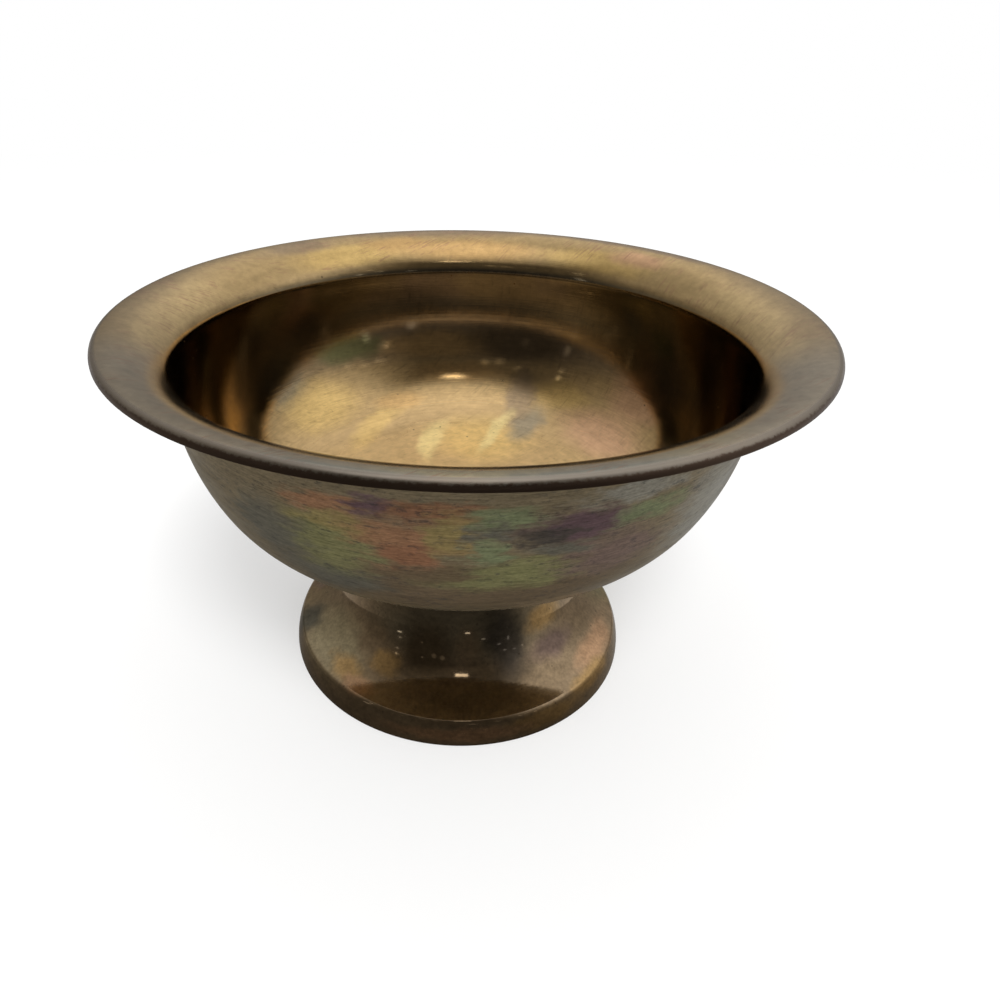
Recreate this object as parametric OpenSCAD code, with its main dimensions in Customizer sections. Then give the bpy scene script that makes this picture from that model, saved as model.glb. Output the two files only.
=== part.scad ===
// Pedestal offering bowl in spun brass sheet.
// The bowl and its trumpet foot are two spun shells. A short stud is brazed under the
// bowl's floor, the foot's top is centred on the stud's collar, and a washer, a spring
// washer and a nut inside the foot hold the two together.
// Lengths in mm, Z up, the foot stands on Z = 0 and the axis is the Z axis.

/* [Bowl] */
// Width across the outer edge of the lip
rim_d = 152; // [140:1:164]
// Height from the table to the top of the lip
overall_h = 89.3; // [76:0.1:110]
// Thickness of the bowl's sheet
bowl_sheet = 1.2; // [0.8:0.1:1.6]
// Radius of the shallow turn round the floor, on the outside
heel_r = 76; // [60:1:90]
// How far the shallow turn goes, in degrees
heel_turn = 11; // [8:1:14]
// Radius of the belly, on the outside
belly_r = 29.5; // [24:0.5:36]
// How far the belly turns, in degrees
belly_turn = 53.5; // [44:0.5:62]
// Height of the short upright wall above the side
wall_h = 1.8; // [0.5:0.1:6]

/* [Lip] */
// Radius of the crease between wall and lip, on the inside
crease_r = 6; // [4:0.5:8]
// Slope of the lip where it leaves the crease, in degrees
lip_rise = 52; // [46:1:58]
// Radius of the lip's long curve, on top
lip_r = 17.2; // [15:0.1:19]
// Slope where the lip's long curve meets its crown, in degrees
crown_rise = 16.5; // [12:0.5:22]
// Radius of the crown at the outer edge, on top
crown_r = 10.6; // [8:0.1:13]
// Slope of the crown where the edge is trimmed, in degrees
edge_fall = 6; // [2:1:12]

/* [Foot] */
// Width across the foot where it stands on the table
base_d = 86.6; // [80:0.2:96]
// Height of the foot, from the table to the seat of the bowl
foot_h = 38.3; // [30:0.1:46]
// Thickness of the foot's sheet
foot_sheet = 1.2; // [0.8:0.1:1.6]
// Radius of the shoulder below the bowl, on the outside
shoulder_r = 3; // [2:0.1:4]
// How far the shoulder turns, past upright, in degrees
shoulder_turn = 105; // [98:1:110]
// Length of the straight neck below the shoulder
neck_h = 4.8; // [0.5:0.1:8]
// Slope where the waist meets the flare, in degrees
waist_slope = 41; // [36:0.5:46]
// Radius of the flare, on the outside
flare_r = 32.5; // [28:0.5:38]
// Slope where the flare meets the crease above the edge, in degrees
flare_slope = 20.5; // [16:0.5:26]
// Radius of the crease above the edge, on the outside
brim_r = 1.5; // [1.3:0.1:2.5]
// Slope at the top of the edge band, in degrees
band_slope = 66; // [60:1:70]
// Radius of the slightly rounded edge band, on the outside
band_r = 14; // [11:0.5:17]

/* [Fastening] */
// Diameter of the stud's threaded shank
stud_d = 6; // [5:0.5:8]
// How far the shank reaches below the bowl's floor
stud_len = 12.4; // [12:0.1:14]
// Length of the bevel at the shank's end
stud_bevel = 0.8; // [0.4:0.1:1.2]
// Diameter of the collar brazed to the bowl
collar_d = 20; // [16:0.5:24]
// Thickness of the collar, a little less than the foot's sheet
collar_t = 1; // [0.5:0.1:1]
// Clearance all round between the collar and the foot's hole
collar_fit = 0.1; // [0.05:0.01:0.2]
// Diameter of the large washer
washer_d = 34; // [30:1:38]
// Thickness of the large washer
washer_t = 1.6; // [1.2:0.1:2]
// Clearance all round between the shank and both washers
washer_fit = 0.2; // [0.1:0.05:0.4]
// Outer diameter of the spring washer
spring_d = 10.6; // [10.4:0.1:11.4]
// Thickness of the spring washer
spring_t = 1.6; // [1.2:0.1:1.8]
// Width of the cut through the spring washer
spring_cut = 1.2; // [0.8:0.1:1.6]
// Lean of that cut, in degrees
spring_lean = 20; // [10:1:30]
// Width of the nut across its flats
nut_af = 10; // [10:0.5:12]
// Height of the nut
nut_h = 5; // [4:0.1:5.4]
// Height of the bevel round each face of the nut
nut_bevel = 0.5; // [0.3:0.1:0.8]
// Clearance all round between the shank and the nut
nut_fit = 0.05; // [0.02:0.01:0.1]

/* [Hidden] */
$fn = 120;
// A hexagon, and how far cutting shapes run past what they cut
hex_sides = 6;
overrun = 1;
// Curved sheet is drawn with a facet for each so many degrees of turn
arc_step = 3;

brass = [0.62, 0.52, 0.36];
dark_brass = [0.36, 0.29, 0.2];
plain_brass = [0.78, 0.66, 0.4];
steel = [0.62, 0.63, 0.65];

// The lip, worked in from the outer edge and down from its highest point
rim_r = rim_d/2;
crease_turn = 90 - lip_rise;
lip_turn = lip_rise - crown_rise;
crown_turn = crown_rise + edge_fall;
lip_out = crease_r*(1 - cos(crease_turn)) + lip_r*(sin(lip_rise) - sin(crown_rise))
    + crown_r*(sin(crown_rise) + sin(edge_fall));
lip_up = crease_r*sin(crease_turn) + lip_r*(cos(crown_rise) - cos(lip_rise))
    + crown_r*(1 - cos(crown_rise));
wall_r = rim_r - lip_out + bowl_sheet;
wall_top = overall_h - lip_up;

// The side's curve fills the height that the belly leaves below the upright wall, and
// the flat floor is what the curves leave of the width
side_from = heel_turn + belly_turn;
belly_up = heel_r*(1 - cos(heel_turn)) + belly_r*(cos(heel_turn) - cos(side_from));
side_r = (wall_top - wall_h - foot_h - belly_up)/cos(side_from);
belly_out = heel_r*sin(heel_turn) + belly_r*(sin(side_from) - sin(heel_turn))
    + side_r*(1 - sin(side_from));
floor_r = wall_r - belly_out;

// The waist's curve fills the height that the foot's other bends leave, and the flat
// top is what they leave of the width
collar_r = collar_d/2;
foot_hole_r = collar_r + collar_fit;
bends_down = shoulder_r*(1 - cos(shoulder_turn)) + neck_h*sin(shoulder_turn)
    + flare_r*(cos(flare_slope) - cos(waist_slope))
    + brim_r*(cos(flare_slope) - cos(band_slope)) + band_r*cos(band_slope);
waist_r = (foot_h - bends_down)/(cos(waist_slope) - cos(shoulder_turn));
foot_out = shoulder_r*sin(shoulder_turn) + neck_h*cos(shoulder_turn)
    + waist_r*(sin(shoulder_turn) - sin(waist_slope))
    + flare_r*(sin(waist_slope) - sin(flare_slope))
    + brim_r*(sin(band_slope) - sin(flare_slope)) + band_r*(1 - sin(band_slope));
top_run = base_d/2 - foot_out - foot_hole_r;

// Each section is a list of [length or radius, turn in degrees]: a turn of zero is a
// straight run, a left turn is positive, and the radius is that of the traced face
bowl_steps = [
    [floor_r, 0],
    [heel_r, heel_turn],
    [belly_r, belly_turn],
    [side_r, 90 - side_from],
    [wall_h, 0],
    [crease_r - bowl_sheet, -crease_turn],
    [lip_r - bowl_sheet, -lip_turn],
    [crown_r - bowl_sheet, -crown_turn]
];
foot_steps = [
    [top_run, 0],
    [shoulder_r, -shoulder_turn],
    [neck_h, 0],
    [waist_r, shoulder_turn - waist_slope],
    [flare_r, waist_slope - flare_slope],
    [brim_r, flare_slope - band_slope],
    [band_r, band_slope - 90]
];

// Heights of what hangs below the bowl's floor
shank_r = stud_d/2;
washer_top = foot_h - foot_sheet;
spring_top = washer_top - washer_t;
nut_top = spring_top - spring_t;

// How far one step goes when it starts at a heading
function travel(step, heading) = step[1] == 0
    ? step[0]*[cos(heading), sin(heading)]
    : sign(step[1])*step[0]*[sin(heading + step[1]) - sin(heading),
        cos(heading) - cos(heading + step[1])];

// Where each step starts, as [point, heading]
function stations(steps, point, heading, i = 0) = i == len(steps)
    ? []
    : concat([[point, heading]], stations(steps, point + travel(steps[i], heading),
        heading + steps[i][1], i + 1));

// Points along one step, on the traced face or moved aside to the sheet's other face
function swept(step, point, heading, aside) =
    let (pieces = step[1] == 0 ? 1 : ceil(abs(step[1])/arc_step))
    [for (k = [1:pieces])
        let (at = step[1] == 0 ? step : [step[0], step[1]*k/pieces])
        let (normal = heading + at[1] + 90)
        point + travel(at, heading) + aside*[cos(normal), sin(normal)]];

// One whole face of a bent sheet, from its start to its end
function face(steps, start, aside) =
    let (at = stations(steps, start, 0))
    concat([start + [0, aside]], [for (i = [0:len(steps) - 1])
        for (p = swept(steps[i], at[i][0], at[i][1], aside)) p]);

function backwards(points) = [for (i = [len(points) - 1:-1:0]) points[i]];

// The cut face of a bent sheet, from its traced face to a thickness aside, left positive
module sheet_section(steps, start, aside) {
    polygon(concat(face(steps, start, 0), backwards(face(steps, start, aside))));
}

module bowl() {
    color(brass)
        rotate_extrude()
            sheet_section(bowl_steps, [0, foot_h], bowl_sheet);
}

module foot() {
    color(dark_brass)
        rotate_extrude()
            sheet_section(foot_steps, [foot_hole_r, foot_h], -foot_sheet);
}

// The collar is brazed flat under the floor, and the shank hangs from it
module stud() {
    color(plain_brass)
        rotate_extrude()
            polygon([
                [0, foot_h],
                [collar_r, foot_h],
                [collar_r, foot_h - collar_t],
                [shank_r, foot_h - collar_t],
                [shank_r, foot_h - stud_len + stud_bevel],
                [shank_r - stud_bevel, foot_h - stud_len],
                [0, foot_h - stud_len]
            ]);
}

module ring(outer, inner, top, thick) {
    translate([0, 0, top - thick])
        difference() {
            cylinder(r = outer, h = thick);
            translate([0, 0, -overrun])
                cylinder(r = inner, h = thick + 2*overrun);
        }
}

module washer() {
    color(plain_brass)
        ring(washer_d/2, shank_r + washer_fit, washer_top, washer_t);
}

// Cut through on a slant on one side, and pressed flat by the nut
module spring_washer() {
    color(steel)
        difference() {
            ring(spring_d/2, shank_r + washer_fit, spring_top, spring_t);
            translate([spring_d/2, 0, spring_top - spring_t/2])
                rotate([spring_lean, 0, 0])
                    cube([spring_d, spring_cut, spring_t + 2*overrun], center = true);
        }
}

// Both ends bevelled, as a turned blank leaves them
module nut() {
    corner_r = nut_af/2/cos(180/hex_sides);
    color(plain_brass)
        translate([0, 0, nut_top - nut_h])
            difference() {
                intersection() {
                    cylinder(r = corner_r, h = nut_h, $fn = hex_sides);
                    rotate_extrude()
                        polygon([
                            [0, 0],
                            [nut_af/2, 0],
                            [nut_af/2 + 2*nut_bevel, nut_bevel],
                            [nut_af/2 + 2*nut_bevel, nut_h - nut_bevel],
                            [nut_af/2, nut_h],
                            [0, nut_h]
                        ]);
                }
                translate([0, 0, -overrun])
                    cylinder(r = shank_r + nut_fit, h = nut_h + 2*overrun);
            }
}

bowl();
stud();
foot();
washer();
spring_washer();
nut();
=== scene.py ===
# %% [markdown]
# # A pedestal offering bowl in spun brass
#
# The real bowl is two pieces of brass sheet that were spun on a lathe: a deep bowl
# with a wide flared lip, and a trumpet-shaped foot. Their joint doesn't show, so the
# usual one is built: a stud under the bowl's floor goes through the top of the foot,
# and a washer, a spring washer and a nut hold the two together. This lesson dresses
# the CAD model of those six pieces. It models the bowl and the foot again with smooth
# curves and small details, and gives all six their metal.
#
# The CAD model is loaded first. It never moves. Everything that follows is made in
# the same place and at the same size, in metres, so nothing has to be fitted later.

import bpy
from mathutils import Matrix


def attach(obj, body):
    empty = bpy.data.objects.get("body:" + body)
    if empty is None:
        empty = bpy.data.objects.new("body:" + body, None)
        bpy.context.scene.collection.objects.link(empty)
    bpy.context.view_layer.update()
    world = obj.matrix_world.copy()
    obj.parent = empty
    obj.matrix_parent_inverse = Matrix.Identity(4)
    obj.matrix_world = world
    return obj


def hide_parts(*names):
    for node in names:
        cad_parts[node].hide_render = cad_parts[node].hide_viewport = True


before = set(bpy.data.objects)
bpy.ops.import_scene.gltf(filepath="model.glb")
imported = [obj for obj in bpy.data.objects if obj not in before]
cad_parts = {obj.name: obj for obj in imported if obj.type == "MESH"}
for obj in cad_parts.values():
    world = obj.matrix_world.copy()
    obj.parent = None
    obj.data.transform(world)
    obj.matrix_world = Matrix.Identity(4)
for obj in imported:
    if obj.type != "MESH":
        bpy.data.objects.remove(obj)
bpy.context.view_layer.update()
print("CAD pieces:", sorted(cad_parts))

# %% Tools for the whole lesson
import math

import bpy
from mathutils import Matrix, Vector

MM = 0.001


def deselect_all():
    """Operators act on everything that is selected, so each step starts with nothing."""
    if bpy.context.object and bpy.context.object.mode != "OBJECT":
        bpy.ops.object.mode_set(mode="OBJECT")
    bpy.ops.object.select_all(action="DESELECT")


# %% [markdown]
# ## Camera
#
# The photograph was taken from close by, a little above the rim. Where the camera
# stood was worked out from the outlines of the rim and of the foot: about 21 cm from
# the middle of the ring that the foot stands on, looking 30 degrees down. From so
# close, the near side of the rim looks much larger than the far side, and only a camera
# at the right distance gives the same ovals. The small shift brings the object to its
# place in the frame.

# %% Place the camera
pitch, roll = 0.5324, 0.0074  # in radians
camera_place = Vector((-0.00405, -0.1603, 0.1390))
ahead = Vector((0, math.cos(pitch), -math.sin(pitch)))
level = Vector((1, 0, 0))
upward = Vector((0, math.sin(pitch), math.cos(pitch)))
across = math.cos(roll) * level + math.sin(roll) * upward
over = math.cos(roll) * upward - math.sin(roll) * level

camera_data = bpy.data.cameras.new("camera")
camera_data.sensor_width = 36
camera_data.lens = 27
camera_data.shift_x, camera_data.shift_y = 0.0565, -0.0182
camera_data.clip_start = 0.01
camera = bpy.data.objects.new("camera", camera_data)
bpy.context.scene.collection.objects.link(camera)
camera_turn = Matrix((across, over, -ahead)).transposed().to_4x4()
camera.matrix_world = Matrix.Translation(camera_place) @ camera_turn
bpy.context.scene.camera = camera
print("camera to the middle of the foot, mm:", round(camera_place.length / MM))

# %% [markdown]
# ## The bent sheets as chains of curves
#
# A metal spinner bends a flat disc over a wooden former, and every bend has its own
# radius. Drawing the profile by eye would give small bumps that show at once on shiny
# metal. Instead the profile is a chain: each link is a length and no turn, or a
# radius and how far the sheet turns there. Each link starts where the last one ended,
# in the same direction, so the whole curve is smooth. The numbers are the same as
# those in the CAD model, but for one: the real lip doesn't end in a bare cut edge. Its
# last millimetre and a half is rolled down over the former, which leaves a rounded
# bead with a dark shadow under it, and the last bend here makes it.

# %% Follow a chain of bends
def follow(links, start, fineness=1.5):
    """Points along a chain, in mm, as (radius, height). It sets off level, outwards."""
    (across_mm, up_mm), heading, points = start, 0.0, [start]
    for size, turn in links:
        if turn == 0:
            steps = max(1, round(size / 2))
            for k in range(1, steps + 1):
                points.append((across_mm + size * k / steps * math.cos(heading),
                               up_mm + size * k / steps * math.sin(heading)))
        else:
            steps, side = math.ceil(abs(turn) / fineness), math.copysign(1, turn)
            for k in range(1, steps + 1):
                at = heading + math.radians(turn * k / steps)
                points.append((across_mm + side * size * (math.sin(at) - math.sin(heading)),
                               up_mm + side * size * (math.cos(heading) - math.cos(at))))
            heading += math.radians(turn)
        across_mm, up_mm = points[-1]
    return points


def sin(degrees):
    """The sine of an angle in degrees."""
    return math.sin(math.radians(degrees))


def cos(degrees):
    """The cosine of an angle in degrees."""
    return math.cos(math.radians(degrees))


# %% Work out the bowl's chain
sheet = 1.2
foot_top = 38.3
rim_radius, overall_height = 76.0, 89.3

# The lip, inwards and down from its outer edge and its highest point
crease_radius, flare_radius, brow_radius = 6, 17.2, 10.6
flare_slope, brow_slope, edge_slope = 52, 16.5, 6
lip_reach = (crease_radius * (1 - cos(90 - flare_slope))
             + flare_radius * (sin(flare_slope) - sin(brow_slope))
             + brow_radius * (sin(brow_slope) + sin(edge_slope)))
lip_rise = (crease_radius * sin(90 - flare_slope)
            + flare_radius * (cos(brow_slope) - cos(flare_slope))
            + brow_radius * (1 - cos(brow_slope)))

# The turned-down edge, which the CAD model doesn't have
edge_turn, bead_radius, edge_length = 2.47, 1.47, 0.3
lip_links = [(crease_radius - sheet, flare_slope - 90),
             (flare_radius - sheet, brow_slope - flare_slope),
             (brow_radius - sheet, edge_turn - brow_slope),
             (bead_radius - sheet, -90 - edge_turn), (edge_length, 0)]

# The side and the floor take up what is left of the height and of the width
upright = 1.8
heel_radius, belly_radius = 76, 29.5
heel_slope, belly_slope = 11, 64.5
wall_radius = rim_radius - lip_reach + sheet
belly_rise = (heel_radius * (1 - cos(heel_slope))
              + belly_radius * (cos(heel_slope) - cos(belly_slope)))
side_radius = ((overall_height - lip_rise - upright - foot_top - belly_rise)
               / cos(belly_slope))
floor_radius = (wall_radius - heel_radius * sin(heel_slope)
                - belly_radius * (sin(belly_slope) - sin(heel_slope))
                - side_radius * (1 - sin(belly_slope)))
bowl_links = [(floor_radius, 0), (heel_radius, heel_slope),
              (belly_radius, belly_slope - heel_slope), (side_radius, 90 - belly_slope),
              (upright, 0)] + lip_links

# %% Work out the foot's chain
foot_hole, foot_radius = 10.1, 43.3
shoulder_radius, shoulder_turn, neck = 3, 105, 4.8
skirt_radius, fold_radius, band_radius = 32.5, 1.5, 14
waist_slope, skirt_slope, band_slope = 41, 20.5, 66
bends_down = (shoulder_radius * (1 - cos(shoulder_turn)) + neck * sin(shoulder_turn)
              + skirt_radius * (cos(skirt_slope) - cos(waist_slope))
              + fold_radius * (cos(skirt_slope) - cos(band_slope))
              + band_radius * cos(band_slope))
waist_radius = (foot_top - bends_down) / (cos(waist_slope) - cos(shoulder_turn))
foot_reach = (shoulder_radius * sin(shoulder_turn) + neck * cos(shoulder_turn)
              + waist_radius * (sin(shoulder_turn) - sin(waist_slope))
              + skirt_radius * (sin(waist_slope) - sin(skirt_slope))
              + fold_radius * (sin(band_slope) - sin(skirt_slope))
              + band_radius * (1 - sin(band_slope)))
foot_links = [(foot_radius - foot_reach - foot_hole, 0),
              (shoulder_radius, -shoulder_turn), (neck, 0),
              (waist_radius, shoulder_turn - waist_slope),
              (skirt_radius, waist_slope - skirt_slope),
              (fold_radius, skirt_slope - band_slope), (band_radius, band_slope - 90)]

# %% Draw both profiles as points
bowl_line = follow(bowl_links, (0.0, foot_top))
foot_line = follow(foot_links, (foot_hole, foot_top))
print("bowl profile ends at", [round(v, 2) for v in bowl_line[-1]], "after", len(bowl_line))
print("foot profile ends at", [round(v, 2) for v in foot_line[-1]], "after", len(foot_line))

# %% [markdown]
# ## Spinning a sheet
#
# A turned shell could be a Screw modifier on a curve, but here it is made as by hand.
# A small plane is merged to one vertex, that vertex is extruded along the profile,
# and the spin operator turns the line once round the Z axis. The seam and the point
# on the axis are closed by merging doubles, and the normals are made consistent
# before Solidify gives the sheet its thickness: on a closed shell that operator would
# turn the inner wall round. A narrow bevel then takes the sharpness off the two
# trimmed edges, as a file does.

# %% Draw a line with one vertex
def draw_line(name, points):
    """An object with one string of vertices through (radius, height) points in mm."""
    deselect_all()
    bpy.ops.mesh.primitive_plane_add(size=1 * MM)
    piece = bpy.context.object
    piece.name = piece.data.name = name
    bpy.ops.object.mode_set(mode="EDIT")
    bpy.ops.mesh.select_all(action="SELECT")
    bpy.ops.mesh.merge(type="CENTER")
    bpy.ops.transform.translate(value=(points[0][0] * MM, 0, points[0][1] * MM))
    for (r0, z0), (r1, z1) in zip(points, points[1:]):
        bpy.ops.mesh.extrude_region_move(
            TRANSFORM_OT_translate={"value": ((r1 - r0) * MM, 0, (z1 - z0) * MM)})
    return piece


# %% Spin it into a shell and give it a thickness
def spin_shell(piece, thickness, edge_bevel, middle_faces_up, steps=200):
    """Turns the line round Z, closes it, and thickens it away from its outer face. The
    outer face of the bowl's middle points down, and that of the foot's top points up."""
    bpy.ops.mesh.select_all(action="SELECT")
    bpy.ops.mesh.spin(steps=steps, angle=2 * math.pi, center=(0, 0, 0), axis=(0, 0, 1))
    bpy.ops.mesh.select_all(action="SELECT")
    bpy.ops.mesh.remove_doubles(threshold=0.0005 * MM)
    bpy.ops.mesh.normals_make_consistent(inside=False)
    bpy.ops.object.mode_set(mode="OBJECT")
    middle = min(piece.data.polygons, key=lambda face: face.center.xy.length)
    if (middle.normal.z > 0) != middle_faces_up:
        bpy.ops.object.mode_set(mode="EDIT")
        bpy.ops.mesh.flip_normals()
        bpy.ops.object.mode_set(mode="OBJECT")
        print(piece.name, "was inside out and has been turned")
    wall = piece.modifiers.new("thickness", "SOLIDIFY")
    wall.thickness, wall.offset = thickness * MM, -1
    wall.use_even_offset = wall.use_rim = True
    bpy.ops.object.modifier_apply(modifier="thickness")
    rounding = piece.modifiers.new("filed edges", "BEVEL")
    rounding.width, rounding.segments = edge_bevel * MM, 2
    rounding.limit_method, rounding.angle_limit = "ANGLE", math.radians(60)
    bpy.ops.object.modifier_apply(modifier="filed edges")
    bpy.ops.object.shade_smooth_by_angle(angle=math.radians(35))
    print(piece.name, "faces:", len(piece.data.polygons))


# %% [markdown]
# ## The bowl
#
# The line is drawn on the bowl's outer face, from the middle of the flat floor out
# through the shallow heel, the round belly, the side and the short upright wall, then
# through the soft crease and over the lip, and round the rolled bead at its edge.

# %% Spin the bowl
bowl = draw_line("bowl_shell", bowl_line)
spin_shell(bowl, sheet, edge_bevel=0.18, middle_faces_up=False)
print("bowl size, mm:", [round(v / MM, 2) for v in bowl.dimensions])

# %% [markdown]
# ## The foot
#
# The foot was spun from a second disc with a hole in the middle. Its line is drawn on
# the outer face too: the flat seat under the bowl, a tight shoulder, the waist, the
# wide flare, and below a small crease the rounded edge band that it stands on.

# %% Spin the foot
foot = draw_line("foot_shell", foot_line)
spin_shell(foot, sheet, edge_bevel=0.15, middle_faces_up=True)
print("foot size, mm:", [round(v / MM, 2) for v in foot.dimensions])

# %% Grind the foot's lower edge flat
deselect_all()
foot.select_set(True)
bpy.context.view_layer.objects.active = foot
bpy.ops.object.mode_set(mode="EDIT")
bpy.ops.mesh.select_mode(type="VERT")
bpy.ops.mesh.select_all(action="DESELECT")
bpy.ops.object.mode_set(mode="OBJECT")
for corner in foot.data.vertices:
    corner.select = corner.co.z < 0.03 * MM
bpy.ops.object.mode_set(mode="EDIT")
bpy.ops.transform.resize(value=(1, 1, 0), center_override=(0, 0, 0))
bpy.ops.object.mode_set(mode="OBJECT")
print("lowest point, mm:", round(min(v.co.z for v in foot.data.vertices) / MM, 4))

# %% [markdown]
# ## Finishes
#
# Brass is a metal all over, so what the photograph shows as colour is the tint of its
# reflections: gold where it is clean, brown, olive, teal and purple where a thin film
# of tarnish has grown. All of that is drawn with nodes. Node sums are hard to read
# when each Math node is made by hand, so a small class wraps a socket and lets plain
# Python sums build them.

# %% A socket that can be added and multiplied
class Wire:
    """A value on its way through a finish's nodes."""

    def __init__(self, socket):
        self.socket = socket

    def node(self, kind, settings=None, sockets=None, output=0):
        """Any other node: its type, its settings, then its sockets' values or links."""
        tree = self.socket.id_data
        made = tree.nodes.new(kind)
        for name, value in (settings or {}).items():
            if name == "stops":
                for k, (at, shade) in enumerate(value):
                    ramp = made.color_ramp.elements
                    stop = ramp[k] if k < 2 else ramp.new(at)
                    stop.position, stop.color = at, shade
            else:
                setattr(made, name, value)
        for name, value in (sockets or {}).items():
            if isinstance(value, Wire):
                tree.links.new(value.socket, made.inputs[name])
            else:
                made.inputs[name].default_value = value
        return Wire(made.outputs[output]) if made.outputs else None

    def sum(self, operation, first, second=0.0):
        return self.node("ShaderNodeMath", {"operation": operation}, {0: first, 1: second})

    def __add__(self, other): return self.sum("ADD", self, other)
    def __radd__(self, other): return self.sum("ADD", other, self)
    def __sub__(self, other): return self.sum("SUBTRACT", self, other)
    def __rsub__(self, other): return self.sum("SUBTRACT", other, self)
    def __mul__(self, other): return self.sum("MULTIPLY", self, other)
    def __rmul__(self, other): return self.sum("MULTIPLY", other, self)
    def __truediv__(self, other): return self.sum("DIVIDE", self, other)
    def __pow__(self, other): return self.sum("POWER", self, other)
    def __or__(self, other): return self.sum("MAXIMUM", self, other)


# %% [markdown]
# A finish starts from the Object coordinates, which stay fixed to the metal whatever
# the camera does. From them come the distance from the axis, the height, and the
# direction round the axis. A few short helpers turn them into masks: a soft step, a
# cloud of noise, specks and strokes.
#
# Tarnish doesn't lie evenly: it grows in broad soft stains. To place some of them one by
# one, the shell is unrolled, like the label of a tin, so that a place on it has two plain
# numbers in mm. A stain is then a soft oval with the name of a tint from a short list:
# tints of tarnish, and three tints of painted light. Noise moves the coordinates about
# first, and tears the edges.

# %% Start a finish and measure places on the metal
def start_finish(name):
    """A new material and a Wire that carries the Object coordinates."""
    material = bpy.data.materials.new(name)
    material.use_nodes = True
    material.node_tree.nodes.clear()
    coordinates = material.node_tree.nodes.new("ShaderNodeTexCoord")
    return material, Wire(coordinates.outputs["Object"])


class Spot:
    """Where a point of the metal is, in mm: x, y, height and distance from the axis."""

    def __init__(self, place):
        apart = [place.node("ShaderNodeSeparateXYZ", {}, {0: place}, k) for k in range(3)]
        self.x, self.y, self.height = (wire * 1000 for wire in apart)
        self.radius = (self.x * self.x + self.y * self.y) ** 0.5


def size_of(wire):
    """The number without its sign."""
    return wire.sum("ABSOLUTE", wire)


def step(wire, low, high):
    """0 up to low, 1 from high on, and smooth between them. High may be below low."""
    turned = high < low
    low, high = min(low, high), max(low, high)
    ends = (1.0, 0.0) if turned else (0.0, 1.0)
    return wire.node("ShaderNodeMapRange", {"interpolation_type": "SMOOTHSTEP"},
                     {"Value": wire, "From Min": low, "From Max": high,
                      "To Min": ends[0], "To Max": ends[1]})


def cloud(place, size, stretch=(1, 1, 1), detail=4.0, seed=0.0, rough=0.55, output=0):
    """Noise with lumps of a size in mm. A stretch above 1 squeezes it along that axis."""
    moved = place.node("ShaderNodeMapping", {}, {
        "Vector": place, "Location": (seed, seed * 0.7, seed * 1.3), "Scale": stretch})
    return place.node("ShaderNodeTexNoise", {}, {
        "Vector": moved, "Scale": 1000.0 / size, "Detail": detail, "Roughness": rough},
                      output)


def mix(mask, under, over):
    """One colour over another, where the mask is 1."""
    return mask.node("ShaderNodeMix", {"data_type": "RGBA"},
                     {0: mask, 6: under, 7: over}, 2)


def colour(red, green, blue):
    return (red, green, blue, 1.0)


# %% Unroll the metal and stain it
def unroll(spot, reach, level, from_back=False):
    """Flat coordinates in mm, as if the shell were cut open and laid flat: how far round
    from the front (or from the back) at a radius of reach, and the level given. Also
    gives the turn itself, in degrees."""
    turn = spot.x.sum("ARCTAN2", spot.x, spot.y if from_back else 0 - spot.y)
    flat = turn.node("ShaderNodeCombineXYZ", {}, {0: turn * reach, 1: level, 2: 0.0})
    return flat, turn * (180 / math.pi)


def tear(flat, place, size, stretch, reach, seed):
    """Moves flat coordinates about by some mm, so that the stains' edges are torn."""
    noise = cloud(place, size, stretch, 5.0, seed, 0.62, output=1)
    moved = noise.node("ShaderNodeVectorMath", {"operation": "MULTIPLY_ADD"}, {
        0: noise, 1: reach, 2: flat})
    return moved.node("ShaderNodeVectorMath", {"operation": "SUBTRACT"}, {
        0: moved, 1: tuple(far / 2 for far in reach)})


# %% Name the tarnish tints and the tints of painted light, and lay the stains
# Most tints here are of tarnish. Three paint light instead: the first paints highlight
# streaks, the third paints shade, and the last paints shade and a dark reflection as well
# as grime.
tarnish_and_painted_light = {
    "painted_highlight": (0.97, 0.76, 0.34), "drab": (0.40, 0.33, 0.22), "painted_shade": (0.27, 0.22, 0.16),
    "gold": (0.88, 0.60, 0.23), "honey": (0.76, 0.48, 0.20), "rose": (0.80, 0.48, 0.27),
    "khaki": (0.58, 0.48, 0.29), "bronze": (0.42, 0.30, 0.18), "pewter": (0.36, 0.34, 0.28),
    "straw": (0.40, 0.31, 0.12), "olive": (0.29, 0.28, 0.12), "copper": (0.45, 0.23, 0.12),
    "verdigris": (0.27, 0.31, 0.16), "rust": (0.36, 0.17, 0.09),
    "umber": (0.20, 0.14, 0.08), "mauve": (0.25, 0.17, 0.14), "plum": (0.17, 0.10, 0.12),
    "slate": (0.18, 0.17, 0.13), "soot_and_shade": (0.10, 0.085, 0.07),
}


def stains(tint, flat, table, core=0.45, fringe=1.45):
    """Soft oval stains, each over those before it: where round the shell, level, half
    width, half height, lean in degrees, and the film's name. A stain is full inside
    core and gone at fringe, both as shares of its half sizes."""
    for around, level, wide, high, lean, film in table:
        local = flat.node("ShaderNodeMapping", {"vector_type": "TEXTURE"}, {
            "Vector": flat, "Location": (around, level, 0),
            "Rotation": (0, 0, math.radians(lean)), "Scale": (wide, high, 1)})
        far = local.node("ShaderNodeVectorMath", {"operation": "LENGTH"}, {0: local},
                         "Value")
        mask = far.node("ShaderNodeMapRange", {"interpolation_type": "SMOOTHSTEP"}, {
            "Value": far, "From Min": core, "From Max": fringe,
            "To Min": 0.9, "To Max": 0.0})
        tint = mix(mask, tint, colour(*tarnish_and_painted_light[film]))
    return tint


def dim(tint, amount):
    """The same tint, lighter or darker."""
    return tint.node("ShaderNodeVectorMath", {"operation": "SCALE"}, {
        0: tint, "Scale": amount})


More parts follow.
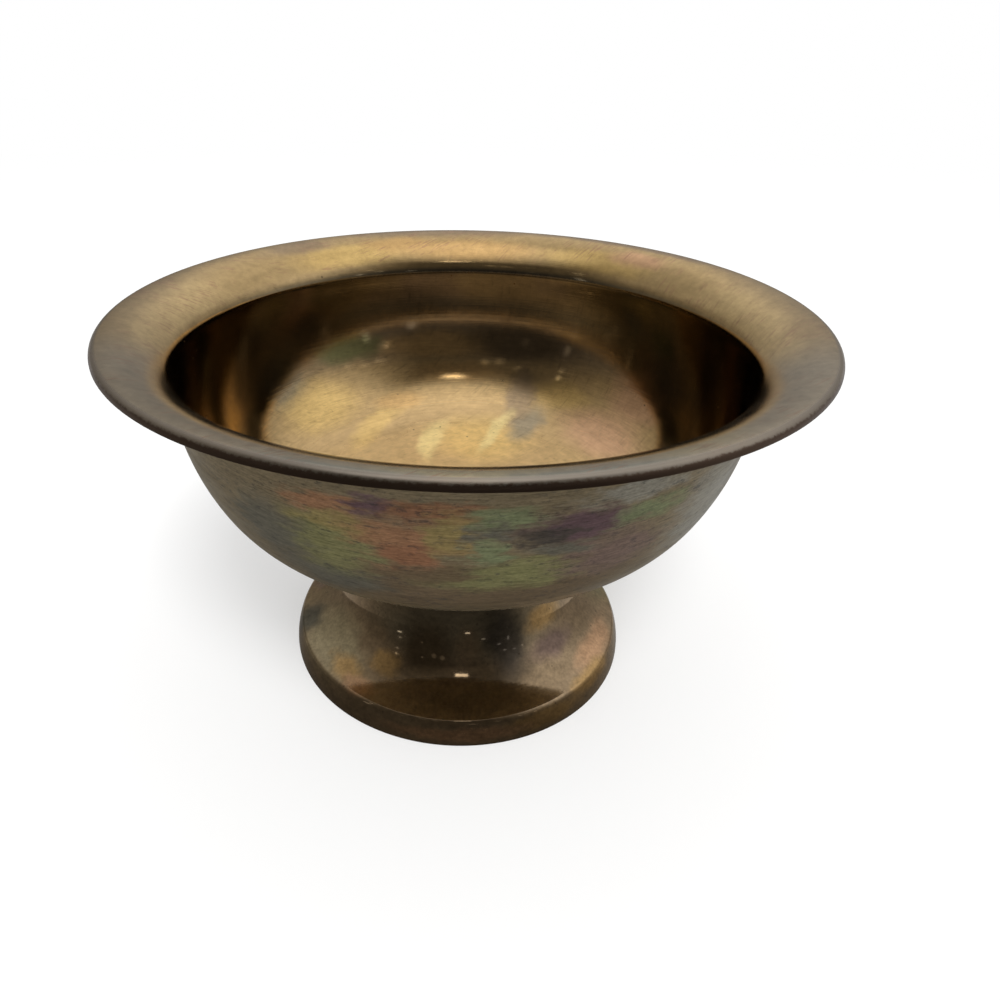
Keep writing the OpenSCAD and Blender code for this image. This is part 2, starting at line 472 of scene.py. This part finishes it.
def specks(place, spacing, size, share, seed=0.0):
    """Small round specks of a size in mm, in a share of the cells of a loose grid."""
    moved = place.node("ShaderNodeMapping", {}, {"Vector": place, "Location": (seed, 0, 0)})
    cells = {"Vector": moved, "Scale": 1000.0 / spacing, "Randomness": 1.0}
    near = place.node("ShaderNodeTexVoronoi", {}, cells, "Distance")
    chance = place.node("ShaderNodeTexVoronoi", {}, cells, "Color")
    lot = place.node("ShaderNodeSeparateColor", {}, {0: chance}, 0)
    return step(near, size / spacing, 0.4 * size / spacing) * step(lot, share, share - 0.02)


def strokes(place, turned, long, thin, seed):
    """Short strokes in one direction round the upright axis: noise drawn out along it."""
    moved = place.node("ShaderNodeMapping", {"vector_type": "TEXTURE"}, {
        "Vector": place, "Location": (seed, seed * 0.7, 0),
        "Rotation": (0, 0, math.radians(turned)),
        "Scale": (long * MM, thin * MM, long * MM)})
    return place.node("ShaderNodeTexNoise", {}, {
        "Vector": moved, "Scale": 1.0, "Detail": 4.0, "Roughness": 0.6})


# %% Lines left by the spinner's tool
def tool_lines(place, along, spacing, seed=0.0):
    """Very fine rings round the axis: noise in one dimension, along the profile."""
    return place.node("ShaderNodeTexNoise", {"noise_dimensions": "1D"}, {
        "W": along + seed, "Scale": 1.0 / spacing, "Detail": 3.0, "Roughness": 0.6})


def finish_metal(material, tint, roughness, relief, depth, metallic=1.0):
    """Closes a finish: a metal shader with its tint, roughness and fine relief."""
    raised = tint.node("ShaderNodeBump", {}, {
        "Height": relief, "Strength": 1.0, "Distance": depth * MM})
    shader = tint.node("ShaderNodeBsdfPrincipled", {}, {
        "Base Color": tint, "Metallic": metallic, "Roughness": roughness, "Normal": raised})
    tint.node("ShaderNodeOutputMaterial", {}, {"Surface": shader})
    print("finish", material.name, "has", len(material.node_tree.nodes), "nodes")
    return material


# %% [markdown]
# ### Inside the bowl and on its lip
#
# In the photograph the high wall inside is brown, and nearly black at the back. Film and
# dark reflections look alike there, so part of the dark stains laid on it stands for what
# the metal reflects: a painted dark reflection, and in places painted shade. The floor and
# the lower wall are satin instead of bright, gold on one side and pinker on the other. Two
# leaning rows of pale gold stains paint streaks of reflected light on them: painted
# highlights. The lip is gold near the crease and olive-brown further out, and its near side
# is greyer. The lip has its own finish, and both take the same tint round the crease, where
# they meet.

# %% Stains inside the bowl
# Among these, the two leaning pale rows near the floor paint highlight streaks, and the
# dark rows high at the back and the dim one on the right paint a dark reflection and shade
# over the film.
inside_stains_and_painted_light = [
    (0, 96, 75, 9, 0, "drab"), (5, 97, 34, 10, 0, "soot_and_shade"), (0, 81, 60, 8, 0, "bronze"),
    (-5, 78, 15, 5, 0, "honey"), (16, 80, 14, 7, 0, "umber"), (-29, 80, 9, 5, 0, "olive"),
    (-50, 75, 7, 9, 0, "drab"), (-40, 91, 10, 6, 0, "bronze"),
    (-43, 61, 12, 10, 0, "gold"), (-30, 46, 14, 4, 28, "gold"),
    (-18, 55, 7, 4, 0, "honey"), (31, 62, 8, 6, 0, "gold"), (50, 52, 14, 9, 0, "rose"),
    (53, 71, 9, 10, 0, "rose"), (0, 67, 12, 4, 0, "honey"), (10, 33, 20, 12, 0, "gold"),
    (25, 45, 5, 9, 0, "drab"), (19, 58, 4, 13, 0, "bronze"), (-13, 32, 12, 4, 51, "painted_highlight"),
    (15, 38, 12, 3, 75, "painted_highlight"), (62, 86, 12, 10, 0, "painted_shade"),
]
far_lip_stains = [
    (-35, 66, 18, 3, 0, "gold"), (3, 66, 22, 3, 0, "honey"), (45, 66, 16, 3, 0, "gold"),
    (-5, 73, 26, 2.6, 0, "bronze"), (-19, 68, 10, 2.4, 0, "honey"),
    (56, 68.5, 9, 2.4, 0, "rose"), (-48, 71, 10, 2.6, 0, "bronze"),
    (50, 74, 30, 1.6, 0, "bronze"),
]
near_lip_stains = [
    (-2, 73, 12, 2.4, 0, "khaki"), (16, 75, 14, 1.5, 0, "pewter"),
    (-18, 75, 12, 1.4, 0, "pewter"), (32, 71, 12, 3, 0, "khaki"),
]
print("stains inside:", len(inside_stains_and_painted_light), "far lip:", len(far_lip_stains),
      "near lip:", len(near_lip_stains))

# %% Finish the inside
# Between these heights, in mm, the inside's finish gives way to the lip's
crease_low, crease_middle, crease_high = 80.4, 82, 83.6


def crease_tint(mottle):
    """The tint round the crease, where the inside and the lip meet and must agree."""
    return mix(step(mottle, 0.35, 0.7), colour(0.68, 0.48, 0.24), colour(0.54, 0.38, 0.19))


def wiping(place):
    """Blotches, grain and wiping marks, the same on the inside and on the lip."""
    return (cloud(place, 9, detail=5.0, seed=4.1), cloud(place, 1.6, detail=3.0, seed=2.2),
            cloud(place, 4, (1, 1, 3), 5.0, 7.7, 0.65))


inside_finish, place = start_finish("brass_inside")
spot = Spot(place)
broad = cloud(place, 55, detail=3.0, seed=1.3)
mottle, fine, wear = wiping(place)
flat, turn = unroll(spot, 50, spot.radius + spot.height - (foot_top + sheet),
                    from_back=True)

tint = mix(step(mottle, 0.35, 0.7), colour(0.76, 0.51, 0.23), colour(0.64, 0.42, 0.19))
tint = mix(step(broad, 0.48, 0.68) * 0.55, tint, colour(0.66, 0.43, 0.27))
tint = mix(step(size_of(turn), 110, 85), tint, colour(0.66, 0.45, 0.21))
# Darker high up the inside: partly film, partly a painted dark reflection.
high_up = step(spot.height + (broad - 0.5) * 12, 56, 70)
tint = mix(high_up * 0.75, tint, colour(*tarnish_and_painted_light["drab"]))
tint = stains(tint, tear(flat, place, 7, (1, 1, 1.4), (9, 6, 0), 3.0), inside_stains_and_painted_light)
tint = mix(step(spot.height, crease_low, crease_middle), tint, crease_tint(mottle))
rubbed = step(strokes(place, 35, 5, 0.5, 1.0), 0.56, 0.70)
hair = cloud(place, 6, (1, 1, 24), 3.0, 6.6, 0.6)
tint = dim(tint, 1 + (wear - 0.5) * 0.5 + (fine - 0.5) * 0.35 + (hair - 0.5) * 0.5
           - rubbed * 0.2)
dots = specks(place, 2.6, 0.36, 0.30) * step(mottle, 0.42, 0.54)
tint = mix(dots * 0.75, tint, colour(0.12, 0.08, 0.04))

lines = tool_lines(place, spot.height + spot.radius, 0.35)
worn = step(spot.radius + (broad - 0.5) * 16, 54, 33)
polish = 0.06 + 0.05 * step(mottle, 0.3, 0.75) + 0.22 * worn + 0.25 * dots
polish = polish + 0.09 * step(spot.height, crease_low, crease_high)
relief = lines * 0.6 + fine * 0.25 + mottle * 0.35
finish_metal(inside_finish, tint, polish, relief, depth=0.012, metallic=1 - worn * 0.72)

# %% Finish the lip
lip_finish, place = start_finish("brass_lip")
spot = Spot(place)
mottle, fine, wear = wiping(place)
outer = step(spot.radius + (mottle - 0.5) * 5, 66.5, 71.5)
tint = mix(outer, colour(0.76, 0.55, 0.27), colour(0.52, 0.37, 0.19))
tint = mix(step(mottle, 0.52, 0.68) * 0.4, tint, colour(0.52, 0.34, 0.19))
flat, turn = unroll(spot, 70, spot.radius, from_back=True)
far_side = stains(colour(0.60, 0.42, 0.20),
                  tear(flat, place, 6, (1, 1, 1), (12, 2.5, 0), 6.0), far_lip_stains)
tint = mix(step(size_of(turn), 78, 60), tint, far_side)
flat, turn = unroll(spot, 70, spot.radius)
near_side = stains(colour(0.52, 0.43, 0.31),
                   tear(flat, place, 6, (1, 1, 1), (12, 2, 0), 8.0), near_lip_stains)
tint = mix(step(size_of(turn), 80, 60), tint, near_side)
tint = mix(step(spot.height, crease_high, crease_middle), tint, crease_tint(mottle))
rubbed = step(strokes(place, 35, 5, 0.5, 4.0), 0.52, 0.62) * step(mottle, 0.44, 0.58)
tint = mix(rubbed * 0.45, tint, colour(0.46, 0.25, 0.16))
tint = dim(tint, 1 + (wear - 0.5) * 0.5 + (fine - 0.5) * 0.4)

turned = step(spot.radius, 74.4, 75.0)  # the turned-down edge
nicks = cloud(place, 0.7, (1, 1, 1), 4.0, 6.0, 0.6)
tint = mix(turned * 0.85, tint, colour(0.40, 0.34, 0.28))
# The lower front of the turned-down bead is painted dark: painted shade with a painted dark
# reflection.
ragged = spot.height + (nicks - 0.5) * 0.9
tint = mix(step(ragged, 88.9, 88.5) * turned * 0.9, tint, colour(0.17, 0.11, 0.08))

lines = tool_lines(place, spot.height + spot.radius, 0.35)
polish = (0.06 + 0.05 * step(mottle, 0.3, 0.75)
          + 0.09 * step(spot.height, crease_low, crease_high))
relief = lines * 0.6 + fine * 0.25 + mottle * 0.35 + nicks * turned * 1.6
finish_metal(lip_finish, tint, polish + 0.14 * turned, relief, depth=0.012)

# %% [markdown]
# ### Outside of the bowl
#
# The outside wall has the colours of age: a very thin film, which looks straw, copper, plum
# or green as its thickness changes. Its stains are long and low, round the bowl. A colour
# ramp on noise gives the cloudy film that goes all the way round, and a few stains are laid
# over it in front, where the photograph shows them.

# %% Stains on the outside
wall_stains = [
    (0, 57, 40, 8, 0, "umber"), (6, 61, 14, 3, 0, "olive"), (-26, 57, 11, 4, 0, "slate"),
    (50, 66, 11, 10, 0, "pewter"), (-24, 66, 9, 7, 0, "olive"),
    (-37, 65, 8, 7, 0, "slate"), (-21, 71, 7, 2.4, 0, "straw"),
    (-24, 75, 7, 2.2, 0, "copper"), (-16, 76, 4, 2, 0, "plum"),
    (-10, 70, 9, 4, 0, "copper"), (-10, 66, 6, 3, 0, "rust"), (-5, 76, 9, 1.8, 0, "rust"),
    (-3.6, 71.5, 3.4, 4.5, 0, "straw"), (-6, 62, 8, 2.4, 0, "umber"),
    (5, 75, 6, 2, 0, "verdigris"), (3.4, 72, 4.5, 1.6, 0, "slate"),
    (3, 68, 4, 2.6, 0, "verdigris"), (10, 64, 7, 2.2, 0, "olive"),
    (26, 64, 10, 5, 0, "mauve"), (19, 72, 10, 3.2, 0, "plum"),
    (13, 70.5, 5, 2.2, 0, "soot_and_shade"), (17, 67.3, 6, 1.5, 0, "slate"),
    (32, 72, 7, 2, 0, "verdigris"), (29, 77, 10, 2.2, 0, "pewter"),
]
print("stains outside:", len(wall_stains))

# %% Finish the outside
outside_finish, place = start_finish("brass_outside")
spot = Spot(place)
film = cloud(place, 34, (1, 1, 4.5), 5.0, 3.1, 0.6)
ragged = cloud(place, 12, (1, 1, 5), 6.0, 9.4, 0.65)
wisps = cloud(place, 4, (1, 1, 6), 5.0, 5.5, 0.7)
fine = cloud(place, 0.9, (1, 1, 2.5), 3.0, 2.0)

tint = film.node("ShaderNodeValToRGB", {"stops": [
    (0.30, colour(0.20, 0.18, 0.13)), (0.40, colour(0.32, 0.27, 0.14)),
    (0.46, colour(0.40, 0.23, 0.12)), (0.52, colour(0.29, 0.24, 0.13)),
    (0.58, colour(0.22, 0.24, 0.15)), (0.64, colour(0.18, 0.12, 0.13)),
    (0.72, colour(0.30, 0.24, 0.16))]}, {0: film})
flat, turn = unroll(spot, 62, spot.height)
tint = mix(step(size_of(turn), 78, 58), tint, colour(0.28, 0.22, 0.13))
flat = tear(flat, place, 6, (1, 1, 3), (18, 7, 0), 5.0)
tint = stains(tint, flat, wall_stains)
flecks = step(cloud(place, 2.4, (1, 1, 3), 6.0, 8.2, 0.75), 0.53, 0.62)
flecks = flecks * step(ragged, 0.42, 0.56)
tint = mix(flecks * 0.6, tint, colour(0.065, 0.06, 0.06))
tint = mix(step(wisps, 0.58, 0.74) * 0.35, tint, colour(0.11, 0.08, 0.07))
hair = cloud(place, 6, (1, 1, 30), 3.0, 6.6, 0.6)
tint = dim(tint, 0.88 + (wisps - 0.5) * 0.9 + (fine - 0.5) * 0.8 + (hair - 0.5) * 0.9)
# Darker towards the top, just under the lip: painted shade.
tint = mix(step(spot.height, 79, 86) * 0.5, tint, colour(0.14, 0.10, 0.07))

lines = tool_lines(place, spot.height + spot.radius, 0.3, 3.0)
polish = 0.30 + 0.12 * step(ragged, 0.35, 0.7) + 0.10 * step(wisps, 0.5, 0.8)
relief = lines * 0.8 + fine * 0.35 + wisps * 0.5
finish_metal(outside_finish, tint, polish, relief, depth=0.014, metallic=0.55)

# %% [markdown]
# ### Under the rolled edge
#
# The face under the rolled bead is the sheet's cut edge. It isn't seen in the
# photograph. A cut and filed edge is usually left unpolished, so it is made duller and
# rougher than the rest.

# %% Finish the cut edge
edge_finish, place = start_finish("brass_trimmed_edge")
nicks = cloud(place, 0.8, (1, 1, 1), 4.0, 6.0, 0.6)
stain = cloud(place, 18, (1, 1, 1), 3.0, 1.0)
tint = mix(step(nicks, 0.3, 0.7), colour(0.40, 0.36, 0.30), colour(0.27, 0.24, 0.20))
tint = mix(step(stain, 0.45, 0.65) * 0.4, tint, colour(0.38, 0.31, 0.23))
polish = 0.45 + 0.2 * step(nicks, 0.4, 0.7)
finish_metal(edge_finish, tint, polish, nicks, depth=0.02, metallic=0.25)

# %% [markdown]
# ### The foot
#
# The foot is glossier than the bowl's outside, with a grey-green bloom and small pits on
# the left, and mauve and orange film on the right. Its middle is dark brown. Film and dark
# reflections look alike there too, and the dark stains laid on it stand for both: for film,
# and for painted shade under the bowl and a painted dark reflection. The band below the
# crease is duller.

# %% Stains on the foot
# The dark rows down the middle, from under the bowl, paint shade under the bowl and a dark
# reflection over the film.
foot_stains_and_painted_shade = [
    (2, -8, 24, 12, 0, "soot_and_shade"), (2, 8, 34, 9, 0, "drab"), (3, 27, 18, 9, 0, "umber"),
    (-38, 27, 13, 10, 0, "khaki"), (-29, 30, 5, 4, 0, "honey"), (-24, 33, 4, 3, 0, "rose"),
    (-50, 33, 5, 6, 0, "slate"), (-10, 14, 8, 9, 0, "umber"), (14, 12, 7, 12, 0, "soot_and_shade"),
    (2, 13, 4, 7, 0, "bronze"), (-27, 17, 5, 6, 0, "bronze"), (-20, 22, 4, 4, 0, "honey"),
    (31, 10, 8, 4, 0, "honey"), (42, 23, 7, 4, 0, "bronze"), (29, 20, 8, 4, 0, "mauve"),
    (40, 31, 9, 4, 0, "rose"), (22, 28, 8, 4, 0, "bronze"), (32, 36, 7, 3, 0, "honey"),
    (18, 39, 8, 2.6, 0, "honey"), (0, 40, 14, 2, 0, "rose"), (-30, 43, 12, 2, 0, "bronze"),
]
print("stains on the foot:", len(foot_stains_and_painted_shade))

# %% Finish the foot
foot_finish, place = start_finish("brass_foot")
spot = Spot(place)
film = cloud(place, 22, (1, 1, 1.6), 5.0, 13.0, 0.6)
ragged = cloud(place, 7, (1, 1, 1), 6.0, 19.4, 0.65)
wisps = cloud(place, 3, (1, 1, 2), 4.0, 15.5, 0.7)
fine = cloud(place, 0.8, (1, 1, 1), 3.0, 12.0)
tint = film.node("ShaderNodeValToRGB", {"stops": [
    (0.30, colour(0.40, 0.36, 0.20)), (0.42, colour(0.50, 0.38, 0.21)),
    (0.50, colour(0.44, 0.31, 0.18)), (0.58, colour(0.48, 0.34, 0.25)),
    (0.66, colour(0.38, 0.35, 0.23)), (0.74, colour(0.54, 0.35, 0.20))]}, {0: film})
flat, turn = unroll(spot, 36, spot.radius - spot.height)
tint = mix(step(size_of(turn), 100, 78), tint, colour(0.50, 0.36, 0.22))
flat = tear(flat, place, 5, (1, 1, 1), (8, 4, 0), 11.0)
tint = stains(tint, flat, foot_stains_and_painted_shade)
tint = dim(tint, 0.88 + (wisps - 0.5) * 0.9 + (fine - 0.5) * 0.6)
pits = specks(place, 2.0, 0.32, 0.34, 5.0) * step(film, 0.62, 0.42)
tint = mix(pits * 0.75, tint, colour(0.08, 0.06, 0.04))

lines = tool_lines(place, spot.height * 0.8 + spot.radius, 0.3, 8.0)
band = step(spot.height, 5.2, 4.6)
polish = 0.05 + 0.05 * step(ragged, 0.4, 0.75) + 0.2 * pits + 0.12 * band
relief = lines * 0.5 + fine * 0.2 + ragged * 0.3
finish_metal(foot_finish, tint, polish, relief, depth=0.010)

# %% [markdown]
# ### Inside the foot
#
# The photograph doesn't show this side. The inside of such a foot is usually left as
# it was spun, so it gets a dull brown film, darker high up, and plainer tool lines.

# %% Finish the inside of the foot
hollow_finish, place = start_finish("brass_hollow")
spot = Spot(place)
film = cloud(place, 14, (1, 1, 1.5), 5.0, 23.0, 0.6)
fine = cloud(place, 1.1, (1, 1, 1), 4.0, 27.0)
tint = mix(step(film, 0.38, 0.66), colour(0.34, 0.25, 0.13), colour(0.20, 0.15, 0.09))
tint = mix(step(spot.height, 10, 34) * 0.5, tint, colour(0.14, 0.10, 0.06))
lines = tool_lines(place, spot.height * 1.3 + spot.radius, 0.5, 1.0)
polish = 0.42 + 0.15 * step(film, 0.4, 0.7)
finish_metal(hollow_finish, tint, polish, lines + fine * 0.4, depth=0.03)

# %% Give each face its finish
def give(piece, finishes, choose):
    """Adds the slots in order and assigns faces: choose returns a slot for a face, from
    its normal's outward and upward parts, its distance from the axis and its height."""
    for finish in finishes:
        piece.data.materials.append(finish)
    counts = [0] * len(finishes)
    for face in piece.data.polygons:
        centre = face.center / MM
        distance = centre.xy.length
        outward = face.normal.xy.dot(centre.xy) / max(distance, 1e-9)
        face.material_index = choose(outward, face.normal.z, distance, centre.z)
        counts[face.material_index] += 1
    print(piece.name, "faces by finish:", counts)


INSIDE, OUTSIDE, EDGE, LIP = range(4)
bead_from, bead_foot = 74.2, 87.8


def bowl_side(outward, up, distance, height):
    if distance > bead_from:
        if up < -0.9 and height < bead_foot:
            return EDGE
        return LIP if up + outward > 0 else OUTSIDE
    if up - outward > 0:
        return LIP if height > crease_middle else INSIDE
    return OUTSIDE


def foot_side(outward, up, distance, height):
    return 0 if up + outward > 0 else 1


give(bowl, [inside_finish, outside_finish, edge_finish, lip_finish], bowl_side)
give(foot, [foot_finish, hollow_finish], foot_side)

# %% [markdown]
# ## The fastening
#
# The stud, the washers and the nut are seen only from below. Their CAD shapes are
# right, so they stay and only get finishes: turned brass, and grey spring steel.

# %% Finish the fastening
turned_finish, place = start_finish("brass_turned")
spot = Spot(place)
grain = cloud(place, 3, (1, 1, 1), 4.0, 31.0)
tint = mix(step(grain, 0.35, 0.7), colour(0.62, 0.47, 0.22), colour(0.42, 0.30, 0.14))
lines = tool_lines(place, spot.height + spot.radius, 0.25, 2.0)
finish_metal(turned_finish, tint, 0.3 + 0.15 * step(grain, 0.4, 0.7), lines, depth=0.02)

steel_finish, place = start_finish("steel_spring")
grain = cloud(place, 2, (1, 1, 1), 4.0, 33.0)
tint = mix(step(grain, 0.4, 0.7), colour(0.42, 0.41, 0.40), colour(0.20, 0.17, 0.15))
finish_metal(steel_finish, tint, 0.35 + 0.15 * grain, grain, depth=0.02)

for name in ("stud", "washer", "nut", "spring_washer"):
    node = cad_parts[name]
    node.data.materials.clear()
    node.data.materials.append(steel_finish if name == "spring_washer" else turned_finish)

# %% [markdown]
# ## Table, backdrop and light
#
# The photograph was cut out on white. A pale table and a white surrounding give that
# look. Metal shows its whole surroundings, so the room matters as much as the lamp.
# Single panels would leave hard gaps between them, so a large ball stands round
# everything like a light tent, seen only in reflections. Its cloth is painted: dark on
# the camera's side, pale at the back and overhead, with a few small bright panes that
# give the small glints. A soft lamp lights the scene, and a second, small one is only
# mirrored, which gives the highlights.

# %% Lay the table and light the room
def background_rays(tree):
    """1 for the rays that show the background: the camera's, and those that reach it by
    a mirror or through glass."""
    path = tree.nodes.new("ShaderNodeLightPath")
    camera_ray, mirror_ray, glass_ray = (Wire(path.outputs[f"Is {kind} Ray"])
                                         for kind in ("Camera", "Glossy", "Transmission"))
    return camera_ray | mirror_ray | glass_ray


deselect_all()
bpy.ops.mesh.primitive_plane_add(size=20, location=(0, 0, -0.00005))
table = bpy.context.object
table.name = "table"
table_paint, place = start_finish("table_paint")
seen = background_rays(table_paint.node_tree)
matt = place.node("ShaderNodeBsdfDiffuse", {}, {"Color": colour(0.96, 0.96, 0.955)})
white = place.node("ShaderNodeEmission", {}, {"Color": colour(1, 1, 1), "Strength": 1.0})
far_off = step(Spot(place).radius, 260, 1100)
both = place.node("ShaderNodeMixShader", {}, {
    0: seen * (0.35 + 0.65 * far_off), 1: matt, 2: white})
place.node("ShaderNodeOutputMaterial", {}, {"Surface": both})
table.data.materials.append(table_paint)

world = bpy.data.worlds.new("white_room")
world.use_nodes = True
bpy.context.scene.world = world
world.node_tree.nodes.clear()
seen = background_rays(world.node_tree)
sky = seen.node("ShaderNodeBackground", {}, {
    "Color": mix(seen, colour(0.8, 0.8, 0.8), colour(1, 1, 1)), "Strength": 1.0})
seen.node("ShaderNodeOutputWorld", {}, {"Surface": sky})


# %% Measure directions in the room
def turn_and_rise(place):
    """Where a place of the room is, seen from the bowl, in degrees: the turn from the
    front towards the right, and the rise above the table."""
    x, y, z = (place.node("ShaderNodeSeparateXYZ", {}, {0: place}, k) for k in range(3))
    turn = x.sum("ARCTAN2", x, 0 - y) * (180 / math.pi)
    rise = z.sum("ARCTAN2", z, (x * x + y * y) ** 0.5) * (180 / math.pi)
    return turn, rise


def graph(wire, low, high, stops):
    """A curve through (position, value) stops, as a ramp of greys."""
    spread = wire.node("ShaderNodeMapRange", {}, {
        "Value": wire, "From Min": low, "From Max": high, "To Min": 0.0, "To Max": 1.0})
    greys = [((at - low) / (high - low), colour(v, v, v)) for at, v in stops]
    return spread.node("ShaderNodeValToRGB", {"stops": greys}, {0: spread})


# %% Paint the tent that the metal reflects
tent_cloth, place = start_finish("tent_cloth")
turn, rise = turn_and_rise(place)
sides = graph(turn, -180, 180, [
    (-180, 0.75), (-150, 0.42), (-130, 0.38), (-110, 0.30), (-90, 0.20), (-75, 0.11),
    (-60, 0.03), (-40, 0.0), (22, 0.0), (32, 0.06), (45, 0.17), (60, 0.40), (75, 0.62),
    (90, 0.74), (110, 0.65), (130, 0.62), (150, 0.70), (180, 0.75)])
rising = graph(rise, 0, 90, [(0, 0.28), (10, 0.36), (20, 0.5), (30, 0.72), (40, 0.95),
                             (60, 1.0)])
ceiling = graph(rise, 0, 90, [(0, 0.0), (50, 0.01), (58, 0.09), (64, 0.30), (70, 0.62),
                              (78, 0.90), (90, 1.0)])
table_top = graph(turn, -180, 180, [
    (-180, 1.0), (-140, 0.85), (-115, 0.45), (-90, 0.18), (-65, 0.05), (-40, 0.0),
    (30, 0.0), (60, 0.12), (90, 0.35), (110, 0.60), (130, 0.90), (150, 1.0), (180, 1.0)])
cloth_share, cloth_least = 0.94, 0.062
below = step(rise, 0.2, -0.2)
bright = ((sides * rising) | ceiling) * (1 - below) + table_top * below
bright = bright * cloth_share
panes = [
    # turn, rise, half width, half height, strength
    (-57, 11.5, 2.4, 0.9, 1.17), (-56, 18.5, 1.3, 1.3, 0.41), (-59, 33, 1.3, 1.2, 0.32),
    (-61, 40, 1.1, 1.1, 0.99), (24, 12, 1.9, 0.7, 0.9), (39, 21, 1.4, 1.0, 0.81),
    (48, 14, 0.8, 2.6, 0.72), (45, 30, 1.6, 0.9, 0.63), (54, 30, 1.5, 1.0, 0.45),
    (62, 27, 1.3, 1.0, 0.45), (-34, 20, 1.0, 1.2, 0.16), (-35, 41, 1.1, 1.2, 0.23),
    (-23, 37.5, 2.2, 3.4, 0.13), (-15, 39.5, 2.2, 3.4, 0.15), (9, 1.6, 2.2, 1.1, 1.35),
]
for at, up, half_wide, half_high, strength in panes:
    off = ((turn - at) / half_wide) ** 2 + ((rise - up) / half_high) ** 2
    bright = bright + step(off, 1.5, 0.5) * strength
glow = place.node("ShaderNodeEmission", {}, {
    "Color": dim(mix(step(bright, 0.0, 0.4), colour(1.0, 0.93, 0.82), colour(1, 1, 1)),
                 bright + cloth_least), "Strength": 1.0})
place.node("ShaderNodeOutputMaterial", {}, {"Surface": glow})


# %% Put up the tent
def only_reflected(piece):
    """The camera, the table and shadows don't know it: only what reflects it does."""
    piece.visible_camera = piece.visible_diffuse = piece.visible_shadow = False
    piece.visible_transmission = False
    piece.data.materials.append(tent_cloth)


tent_radius, tent_floor_radius = 5, 4.9
deselect_all()
bpy.ops.mesh.primitive_uv_sphere_add(segments=96, ring_count=48, radius=tent_radius)
tent = bpy.context.object
tent.name = "tent"
only_reflected(tent)
deselect_all()
bpy.ops.mesh.primitive_circle_add(vertices=96, radius=tent_floor_radius,
                                  fill_type="NGON", location=(0, 0, -0.00002))
tent_floor = bpy.context.object
tent_floor.name = "tent_floor"
only_reflected(tent_floor)

# %% Hang the lamps
def lamp(name, azimuth, rise, reach, wide, high, power, mirrored):
    """A lamp in a direction from the bowl, in degrees, aimed at it. It either lights the
    scene softly or is only seen in the metal."""
    a, e = math.radians(azimuth), math.radians(rise)
    way = Vector((math.cos(a) * math.cos(e), math.sin(a) * math.cos(e), math.sin(e)))
    light = bpy.data.lights.new(name, "AREA")
    light.shape, light.size, light.size_y, light.energy = "RECTANGLE", wide, high, power
    holder = bpy.data.objects.new(name, light)
    bpy.context.scene.collection.objects.link(holder)
    holder.location = way * reach + Vector((0, 0, 0.03))
    holder.rotation_euler = way.to_track_quat("Z", "Y").to_euler()
    holder.visible_camera = False
    holder.visible_glossy, holder.visible_diffuse = mirrored, not mirrored


lamp("key_lamp", azimuth=-80, rise=56, reach=4.5, wide=1.3, high=1.0, power=105,
     mirrored=False)
lamp("bulb", azimuth=-85, rise=58, reach=4.5, wide=0.58, high=0.18, power=0.85,
     mirrored=True)
bpy.context.scene.view_settings.view_transform = "Standard"

# %% [markdown]
# ## Fixing the pieces
#
# The bowl and the foot move with the root body, and the CAD solids that they stand for are
# hidden.

# %% Fix the pieces to the body
for piece, node in ((bowl, "bowl"), (foot, "foot")):
    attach(piece, "root")
    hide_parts(node)
